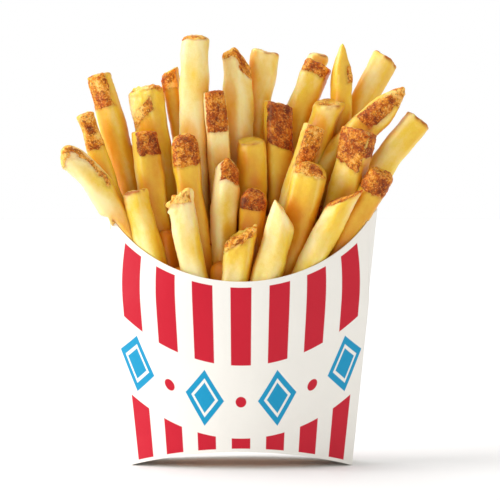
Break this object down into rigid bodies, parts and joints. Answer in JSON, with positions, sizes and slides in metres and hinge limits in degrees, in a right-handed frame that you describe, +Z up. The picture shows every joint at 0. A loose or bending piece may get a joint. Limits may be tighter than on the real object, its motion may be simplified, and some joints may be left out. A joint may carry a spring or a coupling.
{
  "type": "french fries portion",
  "caption": "Skin-on french fries standing in a scoop-fronted paperboard carton with a bowed front panel and an arched bottom.",
  "frame": {"origin": "on the floor, under the middle of the box round the whole portion", "axes": "+Z up along the standing fries, -Y out of the scooped and printed front, +X to the right seen from the front"},
  "size_m": [0.1314, 0.0526, 0.1539],
  "materials": {
    "paperboard": "coated white paperboard, printed in crimson and sky blue, satin",
    "fried_potato": "fried potato, golden, slightly oily, with brown skin on some sides"
  },
  "bodies": {
    "root": {"carton": "paperboard", "fries": "fried_potato"}
  },
  "joints": []
}
